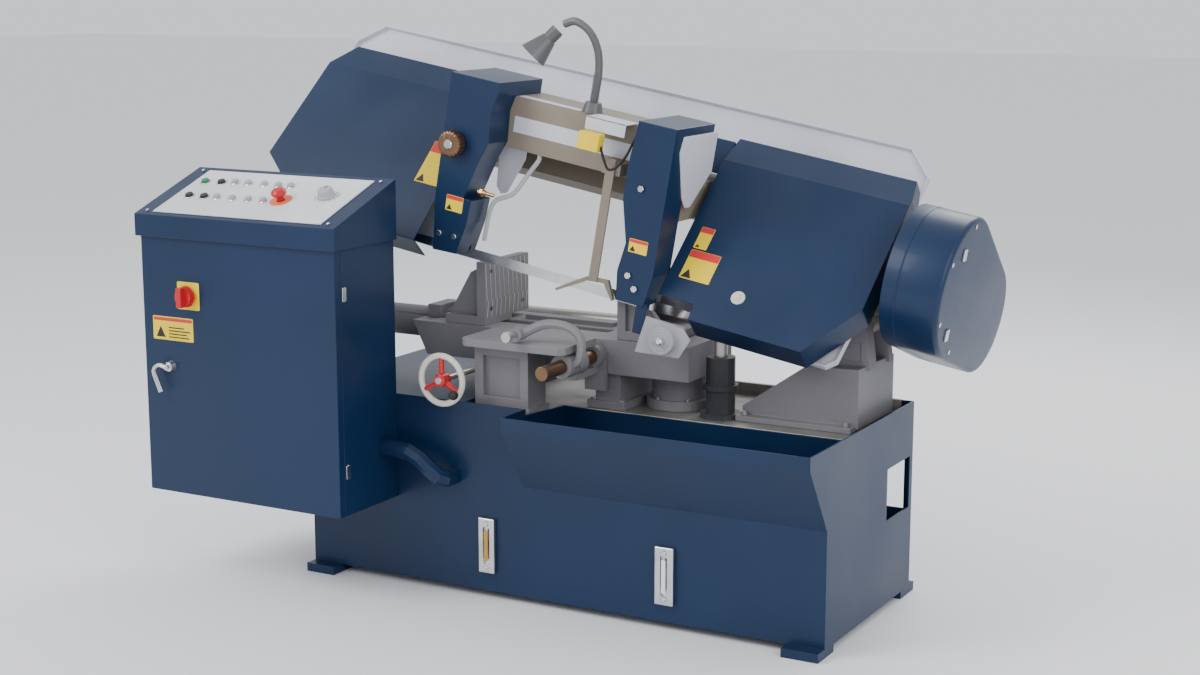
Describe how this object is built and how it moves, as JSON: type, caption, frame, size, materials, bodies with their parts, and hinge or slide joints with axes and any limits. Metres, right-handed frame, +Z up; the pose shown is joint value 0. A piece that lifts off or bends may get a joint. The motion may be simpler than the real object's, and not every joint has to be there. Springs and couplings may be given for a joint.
{
  "type": "horizontal band saw",
  "caption": "Semi-automatic horizontal band saw: navy cabinet with chip tray, side control console, vise, tilted blade wheels under folded covers, and a hinged saw arm.",
  "frame": {"origin": "on the floor, under the middle of the whole machine's box", "axes": "+X along the machine towards the arm's pivot and belt cover, +Y to the back, away from the control console and the operator, +Z up"},
  "size_m": [2.0021, 0.9786, 1.4297],
  "materials": {
    "navy_paint": "smooth navy enamel",
    "grey_sheet": "satin light grey enamel",
    "tan_paint": "satin grey-brown enamel",
    "grey_casting": "painted casting, machined faces worn",
    "machined_steel": "machined and oiled",
    "bare_aluminium": "anodised",
    "blade_steel": "rolled strip",
    "bronze": "turned bronze, dulled",
    "red_plastic": "gloss moulded",
    "green_plastic": "gloss moulded",
    "dark_plastic": "matt moulded",
    "dark_paint": "dark grey enamel",
    "tank_paint": "grey enamel",
    "hose_rubber": "smooth pale hose"
  },
  "bodies": {
    "base": {"base_cabinet": "navy_paint", "bed_plate": "machined_steel", "chip_tray": "navy_paint", "hydraulic_tank": "tank_paint", "hydraulic_pump": "dark_paint", "coolant_tank": "tank_paint", "coolant_pump": "dark_paint", "level_gauge_left": "bare_aluminium", "level_gauge_right": "bare_aluminium", "support_tube": "navy_paint", "control_cabinet": "navy_paint", "electrical_plate": "machined_steel", "console_hood": "navy_paint", "control_panel": "grey_sheet", "vise_bed": "grey_casting", "vise_cylinder": "grey_casting", "fixed_jaw": "grey_casting", "turntable": "grey_casting", "work_table": "grey_casting", "stop_bracket": "grey_casting", "pivot_stand": "grey_casting", "pivot_pin": "machined_steel", "lift_barrel": "dark_paint"},
    "door": {"cabinet_door": "navy_paint"},
    "door_handle": {"door_handle": "machined_steel"},
    "isolator": {"isolator_knob": "red_plastic"},
    "start_button": {"start_button": "green_plastic"},
    "stop_button": {"stop_button": "dark_plastic"},
    "jaw_open_button": {"jaw_open_button": "dark_plastic"},
    "jaw_close_button": {"jaw_close_button": "dark_plastic"},
    "emergency_stop": {"emergency_stop": "red_plastic"},
    "feed_knob": {"feed_knob": "grey_sheet"},
    "jaw": {"moving_jaw": "grey_casting"},
    "handwheel": {"handwheel": "red_plastic"},
    "feed_roller": {"feed_roller": "machined_steel"},
    "stop_rod": {"stop_rod": "bronze"},
    "stop_arm": {"stop_arm": "grey_casting"},
    "stop_screw": {"stop_screw": "machined_steel"},
    "arm": {"arm_beam": "tan_paint", "back_tray": "grey_sheet", "right_guide_arm": "navy_paint", "blade": "blade_steel", "gearbox": "grey_casting", "motor": "grey_casting", "belt_cover": "navy_paint", "brush_housing": "grey_sheet", "lamp_neck": "dark_paint"},
    "drive_wheel": {"drive_wheel": "grey_casting"},
    "idler_wheel": {"idler_wheel": "grey_casting"},
    "gearbox_pulley": {"gearbox_pulley": "grey_casting"},
    "motor_pulley": {"motor_pulley": "grey_casting"},
    "brush": {"brush_wheel": "machined_steel"},
    "left_cover": {"left_cover": "navy_paint"},
    "right_cover": {"right_cover": "navy_paint"},
    "left_guide": {"left_guide_arm": "navy_paint", "coolant_hose": "hose_rubber"},
    "guide_knob": {"guide_knob": "bronze"},
    "sensing_shoe": {"sensing_shoe": "tan_paint"},
    "lift_rod": {"lift_rod": "machined_steel"},
    "lamp_head": {"lamp_head": "dark_paint"}
  },
  "joints": [
    {"name": "door_swing", "type": "hinge", "parent": "base", "child": "door", "pos_m": [-0.387, -0.4274, 0.02], "axis": [0, 0, 1], "range_deg": [0, 110]},
    {"name": "door_handle_turn", "type": "hinge", "parent": "door", "child": "door_handle", "pos_m": [-0.9063, -0.4493, 0.559], "axis": [0, 1, 0], "range_deg": [0, 90]},
    {"name": "isolator_turn", "type": "hinge", "parent": "door", "child": "isolator", "pos_m": [-0.8423, -0.4493, 0.743], "axis": [0, 1, 0], "range_deg": [0, 90]},
    {"name": "start_button_press", "type": "slide", "parent": "base", "child": "start_button", "axis": [0, -0.3442, 0.9389], "range_m": [-0.0025, 0], "stiffness_N_per_m": 300, "springref_m": 0.0005},
    {"name": "stop_button_press", "type": "slide", "parent": "base", "child": "stop_button", "axis": [0, -0.3442, 0.9389], "range_m": [-0.0025, 0], "stiffness_N_per_m": 300, "springref_m": 0.0005},
    {"name": "jaw_open_button_press", "type": "slide", "parent": "base", "child": "jaw_open_button", "axis": [0, -0.3442, 0.9389], "range_m": [-0.0025, 0], "stiffness_N_per_m": 300, "springref_m": 0.0005},
    {"name": "jaw_close_button_press", "type": "slide", "parent": "base", "child": "jaw_close_button", "axis": [0, -0.3442, 0.9389], "range_m": [-0.0025, 0], "stiffness_N_per_m": 300, "springref_m": 0.0005},
    {"name": "emergency_stop_press", "type": "slide", "parent": "base", "child": "emergency_stop", "axis": [0, -0.3442, 0.9389], "range_m": [-0.0035, 0], "stiffness_N_per_m": 600, "springref_m": 0.001},
    {"name": "feed_knob_turn", "type": "hinge", "parent": "base", "child": "feed_knob", "pos_m": [-0.5053, -0.31923, 0.99684], "axis": [0, -0.3442, 0.9389], "range_deg": [0, 270]},
    {"name": "jaw_slide", "type": "slide", "parent": "base", "child": "jaw", "axis": [1, 0, 0], "range_m": [-0.02, 0.28]},
    {"name": "handwheel_turn", "type": "hinge", "parent": "base", "child": "handwheel", "pos_m": [-0.2343, -0.2326, 0.552], "axis": [0, 1, 0], "range_deg": [-180, 1620]},
    {"name": "feed_roller_turn", "type": "hinge", "parent": "base", "child": "feed_roller", "pos_m": [-0.3458, 0.2754, 0.636], "axis": [1, 0, 0], "continuous": true},
    {"name": "stop_rod_slide", "type": "slide", "parent": "base", "child": "stop_rod", "axis": [0, 1, 0], "range_m": [-0.08, 0.006]},
    {"name": "stop_arm_swing", "type": "hinge", "parent": "stop_rod", "child": "stop_arm", "pos_m": [0.0797, -0.1706, 0.607], "axis": [0, 1, 0], "range_deg": [0, 95]},
    {"name": "stop_screw_travel", "type": "slide", "parent": "stop_arm", "child": "stop_screw", "axis": [0, 1, 0], "range_m": [-0.02, 0.02]},
    {"name": "arm_swing", "type": "hinge", "parent": "base", "child": "arm", "pos_m": [0.6997, -0.2026, 0.72], "axis": [0, 1, 0], "range_deg": [-10, 16]},
    {"name": "drive_wheel_turn", "type": "hinge", "parent": "arm", "child": "drive_wheel", "pos_m": [0.53047, 0.09258, 0.85441], "axis": [-0.1087, 0.7799, -0.6164], "continuous": true},
    {"name": "idler_wheel_turn", "type": "hinge", "parent": "arm", "child": "idler_wheel", "pos_m": [-0.671, 0.09258, 1.06626], "axis": [-0.1087, 0.7799, -0.6164], "continuous": true},
    {"name": "gearbox_pulley_turn", "type": "hinge", "parent": "arm", "child": "gearbox_pulley", "pos_m": [0.86015, 0.2624, 0.82371], "axis": [0.9848, 0, -0.1736], "continuous": true},
    {"name": "motor_pulley_turn", "type": "hinge", "parent": "arm", "child": "motor_pulley", "pos_m": [0.84426, 0.3774, 0.7336], "axis": [0.9848, 0, -0.1736], "continuous": true},
    {"name": "brush_turn", "type": "hinge", "parent": "arm", "child": "brush", "pos_m": [0.30985, -0.0676, 0.68009], "axis": [0, 1, 0], "continuous": true},
    {"name": "left_cover_swing", "type": "hinge", "parent": "arm", "child": "left_cover", "pos_m": [-0.61545, 0.30187, 1.26609], "axis": [-0.9848, 0, 0.1736], "range_deg": [0, 80]},
    {"name": "right_cover_swing", "type": "hinge", "parent": "arm", "child": "right_cover", "pos_m": [0.57124, 0.30187, 1.05685], "axis": [-0.9848, 0, 0.1736], "range_deg": [0, 80]},
    {"name": "left_guide_slide", "type": "slide", "parent": "arm", "child": "left_guide", "axis": [0.9848, 0, -0.1736], "range_m": [0, 0.17]},
    {"name": "guide_knob_turn", "type": "hinge", "parent": "left_guide", "child": "guide_knob", "pos_m": [-0.27558, -0.0926, 1.12044], "axis": [0, 1, 0], "range_deg": [-180, 0]},
    {"name": "sensing_shoe_lift", "type": "slide", "parent": "arm", "child": "sensing_shoe", "axis": [0.1736, 0, 0.9848], "range_m": [0, 0.05]},
    {"name": "lift_rod_slide", "type": "slide", "parent": "base", "child": "lift_rod", "axis": [0, 0, 1], "range_m": [-0.06, 0.095]},
    {"name": "lamp_tilt", "type": "hinge", "parent": "arm", "child": "lamp_head", "pos_m": [-0.04228, 0.0174, 1.40119], "axis": [0, 1, 0], "range_deg": [-35, 35]}
  ],
  "couplings": [
    {"joint": "handwheel_turn", "follows": "jaw_slide", "rad_per_m": 99.733},
    {"joint": "lift_rod_slide", "follows": "arm_swing", "m_per_rad": 0.312},
    {"joint": "idler_wheel_turn", "follows": "drive_wheel_turn", "ratio": 1},
    {"joint": "gearbox_pulley_turn", "follows": "drive_wheel_turn", "ratio": 30},
    {"joint": "motor_pulley_turn", "follows": "drive_wheel_turn", "ratio": 40},
    {"joint": "brush_turn", "follows": "drive_wheel_turn", "ratio": -4}
  ]
}
